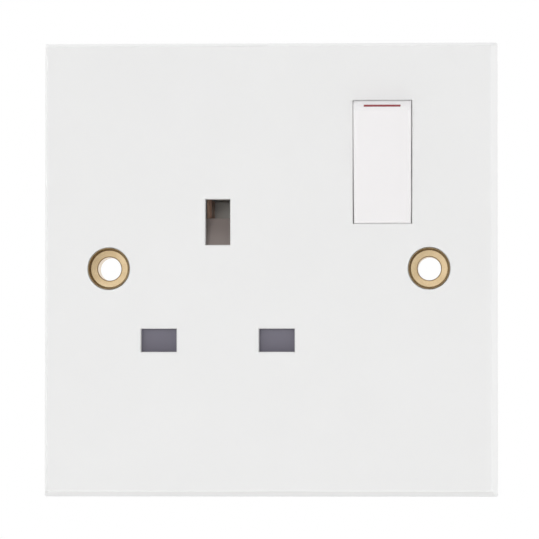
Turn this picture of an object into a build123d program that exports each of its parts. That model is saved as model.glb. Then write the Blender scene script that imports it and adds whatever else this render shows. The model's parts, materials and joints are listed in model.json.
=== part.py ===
from build123d import *
from math import asin, atan, cos, degrees, radians, sin, sqrt
import os

# Single-gang switched socket outlet for three flat pins, with a sprung shutter and a rocker switch.
# The origin is the centre of the rim that meets the wall. Seen from the front, +X is right and +Z is up.
# +Y goes into the wall, so a height out of the wall is a negative y.
# The rocker is switched on: its top end stands proud of the plate.

# Face plate
PLATE_SIZE = 86.0
FACE_SIZE = 83.9
PLATE_DEPTH = 8.5
PLATE_CORNER = 0.4
FACE_EDGE = 0.35
FACE_WALL = 2.8
SIDE_WALL = 2.4
GUSSET_THICKNESS = 1.2
GUSSET_LENGTH = 4.0
GUSSET_SPACING = 40.0
GUSSET_SETBACK = 1.0
PLATE_SIDES = 4

# Fixing holes and their eyelets
FIXING_SPACING = 60.3
EYELET_BORE = 4.4
EYELET_METAL = 0.5
EYELET_LIP = 7.8
EYELET_RIM = 0.15
EYELET_RIM_ROUND = 0.1
EYELET_CUP_FLOOR = 6.9
EYELET_CUP_DEPTH = 1.7
EYELET_CONE_DEPTH = 0.45
EYELET_THROAT = 0.25
EYELET_SINK = 0.1
EYELET_ROLL = 0.65
EYELET_PLAY = 0.1
EYELET_BOSS_WALL = 2.8

# Pins, their spacing and their apertures
PIN_PITCH = 22.23
PIN_WIDTH = 6.35
PIN_THICKNESS = 3.97
EARTH_PIN_HEIGHT = 7.92
LINE_PLAY = 0.4
EARTH_PLAY = 0.7
LEAD_IN = 0.15
SOCKET_X = -9.6
EARTH_Z = 8.75

# Shutter and its return spring
SHUTTER_THICKNESS = 2.2
SHUTTER_PLAY = 0.3
BLADE_OVERLAP = 0.6
STEM_WIDTH = 7.0
STEM_CORNER = 1.0
RAMP_WIDTH = 6.0
RAMP_THICKNESS = 2.1
RAMP_TOE = 1.2
RAMP_HIDE = 0.4
CAM_FOOT = 2.0
CAM_KEY_WIDTH = 3.0
CAM_KEY_LENGTH = 3.0
CAM_PLAY = 0.05
GUIDE_PLAY = 0.2
GUIDE_WIDTH = 1.5
GUIDE_STANDOFF = 1.0
SPIGOT_DIAMETER = 1.5
SPIGOT_LENGTH = 2.0
RETURN_COIL = 2.5
RETURN_LENGTH = 9.0
RETURN_TURNS = 6
SPRING_WIRE = 0.35
SPRING_SEAT_GAP = 0.05
SEAT_WIDTH = 4.0
SEAT_THICKNESS = 1.8

# Rocker
ROCKER_X = 21.4
ROCKER_Z = 20.0
WINDOW_LENGTH = 23.1
WINDOW_WIDTH = 11.1
WINDOW_EDGE = 0.1
ROCKER_GAP = 0.08
ROCKER_THROW = 15.0
ROCKER_FLUSH = 0.1
ROCKER_DRAFT = 0.5
ROCKER_WALL = 1.4
ROCKER_EDGE = 0.6
ROCKER_SKIRT = 2.0
TRUNNION_DIAMETER = 2.0
TRUNNION_PLAY = 0.05
TRUNNION_REST = 0.1
CHEEK_THICKNESS = 1.8
CHEEK_WIDTH = 6.0
MARKER_LENGTH = 6.9
MARKER_HEIGHT = 0.8
MARKER_DEPTH = 0.3
MARKER_DROP = 5.0

# Plunger in the rocker, and its spring
TUBE_DIAMETER = 5.4
TUBE_REACH = 3.5
PLUNGER_DIAMETER = 3.0
PLUNGER_PLAY = 0.05
PLUNGER_REACH = 8.0
PLUNGER_TOP = 1.0
PLUNGER_NOSE = 1.2
THROW_COIL = 2.6
THROW_TURNS = 5

# Brass strip and the clips folded from it
STRIP = 0.8
FOLD_RADIUS = 1.0
CLIP_GRIP = 0.3
CLIP_LENGTH = 10.4
CLIP_END_ROOM = 0.6
CLIP_SETBACK = 0.4
CLIP_MOUTH_BEVEL = 0.4
FLEX_ROOM = 0.6
NEUTRAL_TAIL = 3.2
STRAP_WIDTH = 4.5
STRAP_RING = 9.2
STRAP_KNEE = 6.6
STRAP_CRANK = 4.0
STRAP_ASIDE = 7.0

# See-saw contact and its silver buttons
SEESAW_WIDTH = 6.0
SEESAW_TILT = 10.0
SEESAW_REACH = 8.4
SEESAW_TAIL = 5.0
SEESAW_GAP = 0.1
SADDLE_DEPTH = 1.9
SADDLE_WIDTH = 4.0
SADDLE_LENGTH = 2.4
FULCRUM_PLAY = 0.05
FULCRUM_MARGIN = 0.6
BUTTON_DIAMETER = 3.2
BUTTON_HEIGHT = 0.8
BUTTON_GAP = 0.05
BUTTON_REACH = 6.4

# Tunnel terminals and their clamping screws
TERMINAL_WIDTH = 8.0
TERMINAL_LENGTH = 9.0
TERMINAL_DEPTH = 10.5
TERMINAL_BEVEL = 0.6
TERMINAL_Z = 26.0
TUNNEL_DIAMETER = 4.4
TUNNEL_DROP = 4.3
CLAMP_DIAMETER = 3.5
CLAMP_PLAY = 0.05
CLAMP_HEAD = 5.6
CLAMP_HEAD_HEIGHT = 1.8
CLAMP_TRAVEL = 3.4
CLAMP_MARGIN = 0.1
CLAMP_TIP_BEVEL = 0.5
SLOT_WIDTH = 0.9
SLOT_DEPTH = 0.9
WIRE_ROOM = 0.3

# Base moulding and its screws
BASE_WALL = 2.0
BASE_BACK = 16.0
BASE_CORNER = 2.0
BASE_EDGE = 0.6
BASE_STEP = 5.0
POCKET_PLAY = 0.15
CHAMBER_ROOM = 0.4
LUG_ROOM = 7.2
NOTCH_HEIGHT = 12.4
SCREW_DIAMETER = 3.0
SCREW_PLAY = 0.05
SCREW_HEAD = 5.6
SCREW_HEAD_HEIGHT = 2.0
SCREW_HEAD_ROOM = 0.4
SCREW_SEAT = 4.0
SCREW_POINT = 0.8
SCREW_BOSS = 6.4
PILOT_FLOOR = 1.2
RECESS_WIDTH = 0.8
RECESS_LENGTH = 3.2
RECESS_DEPTH = 1.0

# Heights out of the wall, from the face inwards
FACE_BACK = PLATE_DEPTH - FACE_WALL
SHUTTER_FRONT = FACE_BACK - SHUTTER_PLAY
SHUTTER_REAR = SHUTTER_FRONT - SHUTTER_THICKNESS
DECK = SHUTTER_REAR - SHUTTER_PLAY
PIVOT = DECK + TRUNNION_REST + TRUNNION_DIAMETER / 2
STRAP_REAR = EYELET_METAL
STRAP_FRONT = STRAP_REAR + STRIP
PLATE_DRAFT = degrees(atan((PLATE_SIZE - FACE_SIZE) / 2 / PLATE_DEPTH))

# Pin places and aperture sizes
LINE_Z = EARTH_Z - PIN_PITCH
NEUTRAL_X = SOCKET_X - PIN_PITCH / 2
LIVE_X = SOCKET_X + PIN_PITCH / 2
APERTURE_WIDTH = PIN_WIDTH + LINE_PLAY
APERTURE_HEIGHT = PIN_THICKNESS + LINE_PLAY
EARTH_APERTURE_WIDTH = PIN_THICKNESS + EARTH_PLAY
EARTH_APERTURE_HEIGHT = EARTH_PIN_HEIGHT + EARTH_PLAY
FIXING_X = FIXING_SPACING / 2

# Shutter travel: the blades drop until their top edges pass the apertures, pushed by the earth pin
SHUTTER_TRAVEL = APERTURE_HEIGHT + BLADE_OVERLAP
BLADE_TOP = LINE_Z + APERTURE_HEIGHT / 2 + BLADE_OVERLAP
BLADE_BOTTOM = LINE_Z - APERTURE_HEIGHT / 2 - BLADE_OVERLAP
BLADE_SPAN = PIN_PITCH + APERTURE_WIDTH + 2 * BLADE_OVERLAP
RAMP_TOP = EARTH_Z - EARTH_PIN_HEIGHT / 2 + SHUTTER_TRAVEL
RAMP_FOOT = EARTH_Z - EARTH_APERTURE_HEIGHT / 2 - RAMP_HIDE
RAMP_BACK = SHUTTER_FRONT - (RAMP_TOP - RAMP_FOOT)
RAMP_REAR = RAMP_BACK - RAMP_TOE
RAMP_UNDER = RAMP_FOOT + SHUTTER_FRONT - RAMP_THICKNESS * sqrt(2)
CAM_BOTTOM = RAMP_FOOT - CAM_FOOT
CAM_KEY_BOTTOM = CAM_BOTTOM - CAM_KEY_LENGTH
SPRING_AXIS = (SHUTTER_FRONT + SHUTTER_REAR) / 2
SEAT_TOP = BLADE_BOTTOM - RETURN_LENGTH
GUIDE_LOW = BLADE_TOP + GUIDE_STANDOFF

# Rocker: its ends are arcs about the pivot, so the gap in the window stays even as it tilts
HALF_THROW = ROCKER_THROW / 2
WINDOW_RADIUS = sqrt((WINDOW_LENGTH / 2) ** 2 + (PLATE_DEPTH - PIVOT) ** 2)
ROCKER_RADIUS = WINDOW_RADIUS - ROCKER_GAP
ROCKER_WIDTH = WINDOW_WIDTH - 2 * ROCKER_GAP
FLUSH_ANGLE = degrees(asin((PLATE_DEPTH + ROCKER_FLUSH - PIVOT) / ROCKER_RADIUS))
CORNER_ANGLE = FLUSH_ANGLE + HALF_THROW
ROCKER_FACE = ROCKER_RADIUS * sin(radians(CORNER_ANGLE))
BORE_TOP = ROCKER_FACE - ROCKER_WALL
MARKER_ANGLE = CORNER_ANGLE - MARKER_DROP
CHEEK_X = (WINDOW_WIDTH + CHEEK_THICKNESS) / 2

# Clips: the leaves stand closer together than a pin is thick
CLIP_MOUTH = RAMP_REAR - CLIP_SETBACK
CLIP_REAR = CLIP_MOUTH - CLIP_LENGTH
LEAF_OFFSET = (PIN_THICKNESS - CLIP_GRIP + STRIP) / 2
UPPER_LEAF = LINE_Z + LEAF_OFFSET
LOWER_LEAF = LINE_Z - LEAF_OFFSET
LEAF_END = PIN_WIDTH / 2
LEAF_BEND = PIN_WIDTH / 2 + CLIP_END_ROOM + STRIP / 2
EARTH_BEND = EARTH_Z - EARTH_PIN_HEIGHT / 2 - CLIP_END_ROOM - STRIP / 2
CLIP_TOP = UPPER_LEAF + STRIP / 2 + FLEX_ROOM
EARTH_LEAVES = (SOCKET_X - LEAF_OFFSET, SOCKET_X + LEAF_OFFSET)

# See-saw: with the switch on, its upper arm lies flat and its buttons all but meet
TILT_SIN = sin(radians(SEESAW_TILT))
TILT_COS = cos(radians(SEESAW_TILT))
NOSE_FLAT = PLUNGER_DIAMETER / 2 - PLUNGER_NOSE
NOSE_CENTRE = PIVOT - PLUNGER_REACH + PLUNGER_NOSE
VEE_BOTTOM = NOSE_CENTRE - (PLUNGER_NOSE + SEESAW_GAP) / TILT_COS - NOSE_FLAT * TILT_SIN
FULCRUM = VEE_BOTTOM - SADDLE_DEPTH
VEE_CENTRE = SADDLE_DEPTH - STRIP / 2
ARM_REAR = FULCRUM + VEE_CENTRE * TILT_COS - STRIP / 2
BUTTON_REAR = ARM_REAR - BUTTON_HEIGHT
BUTTON_Z = ROCKER_Z + VEE_CENTRE * TILT_SIN + BUTTON_REACH
FIXED_FRONT = BUTTON_REAR - BUTTON_GAP - BUTTON_HEIGHT
CHAMBER_FLOOR = FIXED_FRONT - STRIP
CHAMBER_HALF = ROCKER_WIDTH / 2 + CHAMBER_ROOM
CHAMBER_LEFT = ROCKER_X - CHAMBER_HALF
CHAMBER_RIGHT = ROCKER_X + CHAMBER_HALF
CHAMBER_LOW = ROCKER_Z - ROCKER_RADIUS - CHAMBER_ROOM
CHAMBER_HIGH = ROCKER_Z + ROCKER_RADIUS + CHAMBER_ROOM
FULCRUM_LEFT = ROCKER_X - SEESAW_WIDTH / 2 - FULCRUM_MARGIN
FULCRUM_RIGHT = ROCKER_X + SEESAW_WIDTH / 2

# Terminals: their fronts meet the earth strap, and their screws start with the wire tunnel clear
TERMINAL_FRONT = STRAP_REAR
TERMINAL_REAR = TERMINAL_FRONT - TERMINAL_DEPTH
TUNNEL_AXIS = TERMINAL_FRONT - TUNNEL_DROP
CLAMP_TIP = TUNNEL_AXIS - TUNNEL_DIAMETER / 2 - CLAMP_MARGIN
CLAMP_SHOULDER = TERMINAL_REAR - CLAMP_TRAVEL - CLAMP_MARGIN
NEUTRAL_TERMINAL_Z = LOWER_LEAF - NEUTRAL_TAIL - TERMINAL_LENGTH / 2
LIVE_TERMINAL_X = CHAMBER_LEFT - BASE_WALL - POCKET_PLAY - TERMINAL_WIDTH / 2
TERMINALS = {
    "earth": (SOCKET_X, TERMINAL_Z),
    "neutral": (NEUTRAL_X, NEUTRAL_TERMINAL_Z),
    "live": (LIVE_TERMINAL_X, TERMINAL_Z),
}

# Base outline: a wall round everything that it holds
TERMINAL_CELL = TERMINAL_LENGTH / 2 + POCKET_PLAY
BASE_LEFT = NEUTRAL_X - TERMINAL_WIDTH / 2 - POCKET_PLAY - BASE_WALL
BASE_RIGHT = ROCKER_X + WINDOW_WIDTH / 2 + CHEEK_THICKNESS + POCKET_PLAY
BASE_LOW = NEUTRAL_TERMINAL_Z - TERMINAL_CELL - BASE_WALL
BASE_HIGH = max(TERMINAL_Z + TERMINAL_CELL, CHAMBER_HIGH) + BASE_WALL
BASE_WIDTH = BASE_RIGHT - BASE_LEFT
BASE_HEIGHT = BASE_HIGH - BASE_LOW
BASE_CENTRE = ((BASE_LEFT + BASE_RIGHT) / 2, (BASE_LOW + BASE_HIGH) / 2)
SCREW_TIP = PLATE_DEPTH - PILOT_FLOOR - SCREW_PLAY
SCREW_PLACES = (
    (BASE_LEFT + SCREW_HEAD, TERMINAL_Z - SCREW_BOSS),
    (CHAMBER_LEFT - SCREW_HEAD, CHAMBER_LOW),
    (FULCRUM_LEFT - SCREW_HEAD, NEUTRAL_TERMINAL_Z),
)

# Earth strap: it passes between the shutter's ramp and the lower clips, with a branch to the terminal
RAMP_POCKET_LOW = RAMP_UNDER - SHUTTER_REAR - SHUTTER_TRAVEL - SHUTTER_PLAY
STRAP_Z = (RAMP_POCKET_LOW + CLIP_TOP) / 2
STRAP_BRANCH = SOCKET_X - STRAP_ASIDE
STRAP_RUN = (
    (-FIXING_X, 0),
    (-FIXING_X + STRAP_KNEE, 0),
    (-FIXING_X + STRAP_KNEE + STRAP_CRANK, STRAP_Z),
    (FIXING_X - STRAP_KNEE - STRAP_CRANK, STRAP_Z),
    (FIXING_X - STRAP_KNEE, 0),
    (FIXING_X, 0),
)
STRAP_RISER = ((STRAP_BRANCH, STRAP_Z), (STRAP_BRANCH, TERMINAL_Z), (SOCKET_X, TERMINAL_Z))

# Fold lines of the clips, seen from the front
EARTH_PATH = (
    (SOCKET_X - LEAF_OFFSET, TERMINAL_Z - TERMINAL_LENGTH / 2),
    (SOCKET_X - LEAF_OFFSET, EARTH_BEND),
    (SOCKET_X + LEAF_OFFSET, EARTH_BEND),
    (SOCKET_X + LEAF_OFFSET, EARTH_Z + EARTH_PIN_HEIGHT / 2),
)
NEUTRAL_PATH = (
    (NEUTRAL_X - LEAF_END, NEUTRAL_TERMINAL_Z + TERMINAL_LENGTH / 2),
    (NEUTRAL_X - LEAF_END, LOWER_LEAF),
    (NEUTRAL_X + LEAF_BEND, LOWER_LEAF),
    (NEUTRAL_X + LEAF_BEND, UPPER_LEAF),
    (NEUTRAL_X - LEAF_END, UPPER_LEAF),
)
LIVE_PATH = (
    (LIVE_X + LEAF_END, UPPER_LEAF),
    (LIVE_X - LEAF_BEND, UPPER_LEAF),
    (LIVE_X - LEAF_BEND, LOWER_LEAF),
    (FULCRUM_LEFT, LOWER_LEAF),
    (FULCRUM_LEFT, ROCKER_Z),
    (FULCRUM_RIGHT, ROCKER_Z),
)


def front(height):
    """Plane facing out of the wall at this height, with x to the right and y up."""
    return Plane.XZ.offset(height)


def tilted_side(height, angle):
    """Side plane on the switch's centre line, turned about its pivot, with x up and y outwards."""
    turn = radians(angle)
    return Plane(origin=(ROCKER_X, -height, ROCKER_Z), x_dir=(0, -sin(turn), cos(turn)), z_dir=(1, 0, 0))


def tilted_front(height, angle):
    """Front plane through the same pivot, facing outwards, with x to the right and y up."""
    turn = radians(angle)
    return Plane(origin=(ROCKER_X, -height, ROCKER_Z), x_dir=(1, 0, 0), z_dir=(0, -cos(turn), -sin(turn)))


def strip_section(path, width):
    """Front view of a strip folded along a path, standing on edge."""
    with BuildSketch(front(CLIP_MOUTH)) as section:
        with BuildLine():
            FilletPolyline(*path, radius=FOLD_RADIUS)
        trace(line_width=width)
    return section.sketch


def strap_outline(play):
    """Front view of the flat earth strap, widened by a play on each side."""
    with BuildSketch(front(STRAP_REAR)) as outline:
        for run in (STRAP_RUN, STRAP_RISER):
            with BuildLine():
                Polyline(*run)
            trace(line_width=STRAP_WIDTH + 2 * play)
    return outline.sketch


def pocket(left, right, low, high, floor):
    """Cut a rectangular pocket in the base, from its front deck to a floor."""
    with BuildSketch(front(DECK)) as outline:
        with Locations(((left + right) / 2, (low + high) / 2)):
            Rectangle(right - left, high - low)
    extrude(outline.sketch, amount=floor - DECK, mode=Mode.SUBTRACT)


os.makedirs("parts", exist_ok=True)

ROCKER_FRONT = tilted_front(PIVOT, HALF_THROW)
ROCKER_SIDE = tilted_side(PIVOT, HALF_THROW)
SEESAW_SIDE = tilted_side(FULCRUM, -SEESAW_TILT)
BORE_RADIUS = EYELET_BORE / 2
EYELET_TUBE = BORE_RADIUS + EYELET_METAL
LIP_RADIUS = EYELET_LIP / 2
LIP_TOP = PLATE_DEPTH - EYELET_SINK
CUP_FLOOR = LIP_TOP - EYELET_CUP_DEPTH
CONE_FOOT = CUP_FLOOR - EYELET_CONE_DEPTH
CUP_UNDER = CONE_FOOT - EYELET_METAL

# Front plate: a shallow tray with drafted sides, bosses and ribs behind its face
with BuildPart() as front_plate:
    with BuildSketch(front(0)):
        RectangleRounded(PLATE_SIZE, PLATE_SIZE, PLATE_CORNER)
    with BuildSketch(front(PLATE_DEPTH)):
        RectangleRounded(FACE_SIZE, FACE_SIZE, PLATE_CORNER)
    loft()
    fillet(front_plate.edges().group_by(Axis.Y)[0], FACE_EDGE)
    with BuildSketch(front(0)):
        Rectangle(PLATE_SIZE - 2 * SIDE_WALL, PLATE_SIZE - 2 * SIDE_WALL)
    extrude(amount=FACE_BACK, taper=PLATE_DRAFT, mode=Mode.SUBTRACT)

    # Gussets that stiffen the side walls
    with BuildSketch(front(GUSSET_SETBACK)):
        with PolarLocations(PLATE_SIZE / 2 - SIDE_WALL / 2 - GUSSET_LENGTH / 2, PLATE_SIDES):
            with Locations((0, -GUSSET_SPACING / 2), (0, GUSSET_SPACING / 2)):
                Rectangle(GUSSET_LENGTH, GUSSET_THICKNESS)
    extrude(amount=FACE_BACK - GUSSET_SETBACK)

    # Bosses round the eyelets, which clamp the earth strap
    with BuildSketch(front(STRAP_FRONT)):
        with Locations((-FIXING_X, 0), (FIXING_X, 0)):
            Circle(EYELET_TUBE + EYELET_BOSS_WALL)
    extrude(amount=FACE_BACK - STRAP_FRONT)

    # Screw bosses, shutter guides, spring seat and rocker cheeks, all ending on the base's deck
    with BuildSketch(front(DECK)):
        with Locations(*SCREW_PLACES):
            Circle(SCREW_BOSS / 2)
        with Locations((SOCKET_X, (GUIDE_LOW + RAMP_FOOT) / 2)):
            with GridLocations(STEM_WIDTH + 2 * GUIDE_PLAY + GUIDE_WIDTH, 0, 2, 1):
                Rectangle(GUIDE_WIDTH, RAMP_FOOT - GUIDE_LOW)
        with Locations((SOCKET_X, SEAT_TOP - SEAT_THICKNESS / 2)):
            Rectangle(SEAT_WIDTH, SEAT_THICKNESS)
        with Locations((ROCKER_X, ROCKER_Z)):
            with GridLocations(2 * CHEEK_X, 0, 2, 1):
                Rectangle(CHEEK_THICKNESS, CHEEK_WIDTH)
                Rectangle(CHEEK_THICKNESS, TRUNNION_DIAMETER + 2 * TRUNNION_PLAY, mode=Mode.SUBTRACT)
    extrude(amount=FACE_BACK - DECK)

    # The cheeks close over the trunnions above the pivot
    with BuildSketch(front(PIVOT)):
        with Locations((ROCKER_X, ROCKER_Z)):
            with GridLocations(2 * CHEEK_X, 0, 2, 1):
                Rectangle(CHEEK_THICKNESS, CHEEK_WIDTH)
    extrude(amount=FACE_BACK - PIVOT)
    with BuildSketch(ROCKER_SIDE):
        Circle(TRUNNION_DIAMETER / 2 + TRUNNION_PLAY)
    extrude(amount=CHEEK_X + CHEEK_THICKNESS, both=True, mode=Mode.SUBTRACT)

    # Blind pilot holes for the base screws
    with BuildSketch(front(DECK)):
        with Locations(*SCREW_PLACES):
            Circle(SCREW_DIAMETER / 2 + SCREW_PLAY)
    extrude(amount=PLATE_DEPTH - PILOT_FLOOR - DECK, mode=Mode.SUBTRACT)

    # Pin apertures and rocker window
    with BuildSketch(front(FACE_BACK)):
        with Locations((NEUTRAL_X, LINE_Z), (LIVE_X, LINE_Z)):
            Rectangle(APERTURE_WIDTH, APERTURE_HEIGHT)
        with Locations((SOCKET_X, EARTH_Z)):
            Rectangle(EARTH_APERTURE_WIDTH, EARTH_APERTURE_HEIGHT)
    extrude(amount=FACE_WALL, mode=Mode.SUBTRACT)
    with BuildSketch(ROCKER_SIDE):
        Circle(WINDOW_RADIUS)
    extrude(amount=WINDOW_WIDTH / 2, both=True, mode=Mode.SUBTRACT)
    mouths = front_plate.faces().sort_by(Axis.Y)[0].inner_wires().sort_by(SortBy.LENGTH)
    chamfer(mouths[:-1].edges(), LEAD_IN)
    window = front_plate.faces().sort_by(Axis.Y)[0].inner_wires().sort_by(SortBy.LENGTH)[-1]
    chamfer(window.edges(), WINDOW_EDGE)

    # Counterbored seats for the eyelets
    for side in (-FIXING_X, FIXING_X):
        with BuildSketch(Plane.XY):
            with BuildLine():
                Polyline(
                    (side, -STRAP_REAR),
                    (side + EYELET_TUBE + EYELET_PLAY, -STRAP_REAR),
                    (side + EYELET_TUBE + EYELET_PLAY, -CUP_UNDER),
                    (side + LIP_RADIUS + EYELET_PLAY, -CUP_UNDER),
                    (side + LIP_RADIUS + EYELET_PLAY, -PLATE_DEPTH),
                    (side, -PLATE_DEPTH),
                    close=True,
                )
            make_face()
        revolve(axis=Axis((side, 0, 0), (0, 1, 0)), mode=Mode.SUBTRACT)
front_plate.part.label = "front_plate"
export_step(front_plate.part, "parts/front_plate.step")

# Eyelets: a brass tube with a cup for the screw head at the face, rolled over behind the earth strap
for name, side in (("eyelet_left", -FIXING_X), ("eyelet_right", FIXING_X)):
    with BuildPart() as eyelet:
        with BuildSketch(Plane.XY):
            with BuildLine():
                Polyline(
                    (side + BORE_RADIUS, 0),
                    (side + EYELET_TUBE + EYELET_ROLL, 0),
                    (side + EYELET_TUBE + EYELET_ROLL, -STRAP_REAR),
                    (side + EYELET_TUBE, -STRAP_REAR),
                    (side + EYELET_TUBE, -CUP_UNDER),
                    (side + LIP_RADIUS, -CUP_UNDER),
                    (side + LIP_RADIUS, -LIP_TOP),
                    (side + LIP_RADIUS - EYELET_RIM, -LIP_TOP),
                    (side + EYELET_CUP_FLOOR / 2, -CUP_FLOOR),
                    (side + BORE_RADIUS, -CONE_FOOT),
                    close=True,
                )
            make_face()
        revolve(axis=Axis((side, 0, 0), (0, 1, 0)))
        throat = eyelet.edges().filter_by(GeomType.CIRCLE).group_by(SortBy.RADIUS)[0].sort_by(Axis.Y)[0]
        fillet(throat, EYELET_THROAT)
        fillet(eyelet.edges().group_by(Axis.Y)[0].sort_by(SortBy.RADIUS)[-1], EYELET_RIM_ROUND)
    eyelet.part.label = name
    export_step(eyelet.part, f"parts/{name}.step")

# Rocker: a hollow cap with curved ends, trunnions at its sides and a tube for the plunger
with BuildPart() as rocker:
    with BuildSketch(ROCKER_FRONT.offset(-ROCKER_SKIRT)):
        Rectangle(ROCKER_WIDTH, 2 * WINDOW_RADIUS)
    extrude(amount=ROCKER_SKIRT + ROCKER_FACE, taper=ROCKER_DRAFT)
    with BuildSketch(ROCKER_SIDE):
        Circle(ROCKER_RADIUS)
    extrude(amount=ROCKER_WIDTH, both=True, mode=Mode.INTERSECT)
    outward = Axis((0, 0, 0), ROCKER_FRONT.z_dir)
    fillet(rocker.faces().sort_by(outward)[-1].edges(), ROCKER_EDGE)
    with BuildSketch(ROCKER_SIDE):
        Circle(ROCKER_RADIUS - ROCKER_WALL)
        with Locations((0, BORE_TOP - ROCKER_RADIUS)):
            Rectangle(2 * ROCKER_RADIUS, 2 * ROCKER_RADIUS, mode=Mode.INTERSECT)
    extrude(amount=ROCKER_WIDTH / 2 - ROCKER_WALL, both=True, mode=Mode.SUBTRACT)
    with BuildSketch(ROCKER_FRONT.offset(-TUBE_REACH)):
        Circle(TUBE_DIAMETER / 2)
    extrude(amount=TUBE_REACH + BORE_TOP)
    with BuildSketch(ROCKER_FRONT.offset(-TUBE_REACH)):
        Circle(PLUNGER_DIAMETER / 2 + PLUNGER_PLAY)
    extrude(amount=TUBE_REACH + BORE_TOP, mode=Mode.SUBTRACT)
    for direction in (-1, 1):
        with BuildSketch(ROCKER_SIDE.offset(direction * (ROCKER_WIDTH / 2 - ROCKER_WALL / 2))):
            Circle(TRUNNION_DIAMETER / 2)
        extrude(amount=direction * (ROCKER_WALL / 2 + CHEEK_THICKNESS))
    with BuildSketch(ROCKER_SIDE):
        with PolarLocations(ROCKER_RADIUS, 1, MARKER_ANGLE):
            Rectangle(2 * MARKER_DEPTH, MARKER_HEIGHT)
    extrude(amount=MARKER_LENGTH / 2, both=True, mode=Mode.SUBTRACT)
rocker.part.label = "rocker"
export_step(rocker.part, "parts/rocker.step")

# Red bar let into the rocker's top end, flush with its curve: it shows only when the switch is on
with BuildPart() as on_marker:
    with BuildSketch(ROCKER_SIDE):
        with PolarLocations(ROCKER_RADIUS, 1, MARKER_ANGLE):
            Rectangle(2 * MARKER_DEPTH, MARKER_HEIGHT)
        Circle(ROCKER_RADIUS, mode=Mode.INTERSECT)
    extrude(amount=MARKER_LENGTH / 2, both=True)
on_marker.part.label = "on_marker"
export_step(on_marker.part, "parts/on_marker.step")

# Plunger: a pin with a rounded nose that slides in the rocker's tube
with BuildPart() as rocker_plunger:
    with BuildSketch(ROCKER_FRONT.offset(-PLUNGER_REACH)):
        Circle(PLUNGER_DIAMETER / 2)
    extrude(amount=PLUNGER_REACH + PLUNGER_TOP)
    nose = rocker_plunger.edges().sort_by(Axis((0, 0, 0), ROCKER_FRONT.z_dir))[0]
    fillet(nose, PLUNGER_NOSE)
rocker_plunger.part.label = "rocker_plunger"
export_step(rocker_plunger.part, "parts/rocker_plunger.step")

# Spring that presses the plunger onto the see-saw
THROW_FOOT = ROCKER_FRONT.offset(PLUNGER_TOP + SPRING_SEAT_GAP + SPRING_WIRE)
THROW_HEIGHT = BORE_TOP - PLUNGER_TOP - 2 * (SPRING_SEAT_GAP + SPRING_WIRE)
with BuildPart() as rocker_spring:
    with BuildLine() as throw_coil:
        Helix(
            THROW_HEIGHT / THROW_TURNS,
            THROW_HEIGHT,
            (THROW_COIL - SPRING_WIRE) / 2,
            center=THROW_FOOT.origin,
            direction=ROCKER_FRONT.z_dir,
        )
    with BuildSketch(Plane(origin=throw_coil.line @ 0, z_dir=throw_coil.line % 0)):
        Circle(SPRING_WIRE / 2)
    sweep(path=throw_coil.line, is_frenet=True)
rocker_spring.part.label = "rocker_spring"
export_step(rocker_spring.part, "parts/rocker_spring.step")

# Shutter: two blades on a bar, with a stem that is slotted for the cam's key
with BuildPart() as shutter:
    with BuildSketch(front(SHUTTER_REAR)) as shutter_outline:
        with Locations((SOCKET_X, (BLADE_TOP + BLADE_BOTTOM) / 2)):
            Rectangle(BLADE_SPAN, BLADE_TOP - BLADE_BOTTOM)
        with Locations((SOCKET_X, (CAM_BOTTOM + BLADE_BOTTOM) / 2)):
            Rectangle(STEM_WIDTH, CAM_BOTTOM - BLADE_BOTTOM)
        fillet(shutter_outline.vertices().sort_by(Axis.Y)[:-2], STEM_CORNER)
        with Locations((SOCKET_X, (CAM_BOTTOM + CAM_KEY_BOTTOM - CAM_PLAY) / 2)):
            Rectangle(CAM_KEY_WIDTH + 2 * CAM_PLAY, CAM_KEY_LENGTH + CAM_PLAY, mode=Mode.SUBTRACT)
    extrude(amount=SHUTTER_THICKNESS)
    with BuildSketch(Plane.XY.offset(BLADE_BOTTOM)):
        with Locations((SOCKET_X, -SPRING_AXIS)):
            Circle(SPIGOT_DIAMETER / 2)
    extrude(amount=-SPIGOT_LENGTH)
shutter.part.label = "shutter"
export_step(shutter.part, "parts/shutter.step")

# Cam: the ramp that the earth pin pushes, with a key that holds it in the shutter's stem
with BuildPart() as shutter_cam:
    with BuildSketch(Plane.YZ.offset(SOCKET_X - RAMP_WIDTH / 2)):
        with BuildLine():
            Polyline(
                (-SHUTTER_FRONT, RAMP_FOOT),
                (-RAMP_BACK, RAMP_TOP),
                (-RAMP_REAR, RAMP_TOP),
                (-RAMP_REAR, RAMP_UNDER - RAMP_REAR),
                (-SHUTTER_REAR, RAMP_UNDER - SHUTTER_REAR),
                (-SHUTTER_REAR, CAM_BOTTOM),
                (-SHUTTER_FRONT, CAM_BOTTOM),
                close=True,
            )
        make_face()
    extrude(amount=RAMP_WIDTH)
    with BuildSketch(front(SHUTTER_REAR)):
        with Locations((SOCKET_X, (CAM_BOTTOM + CAM_KEY_BOTTOM) / 2)):
            Rectangle(CAM_KEY_WIDTH, CAM_KEY_LENGTH)
    extrude(amount=SHUTTER_THICKNESS)
shutter_cam.part.label = "shutter_cam"
export_step(shutter_cam.part, "parts/shutter_cam.step")

# Return spring that holds the shutter up over the apertures
RETURN_HEIGHT = RETURN_LENGTH - 2 * (SPRING_SEAT_GAP + SPRING_WIRE)
with BuildPart() as shutter_spring:
    with BuildLine() as return_coil:
        Helix(
            RETURN_HEIGHT / RETURN_TURNS,
            RETURN_HEIGHT,
            (RETURN_COIL - SPRING_WIRE) / 2,
            center=(SOCKET_X, -SPRING_AXIS, SEAT_TOP + SPRING_SEAT_GAP + SPRING_WIRE),
        )
    with BuildSketch(Plane(origin=return_coil.line @ 0, z_dir=return_coil.line % 0)):
        Circle(SPRING_WIRE / 2)
    sweep(path=return_coil.line, is_frenet=True)
shutter_spring.part.label = "shutter_spring"
export_step(shutter_spring.part, "parts/shutter_spring.step")

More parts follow.
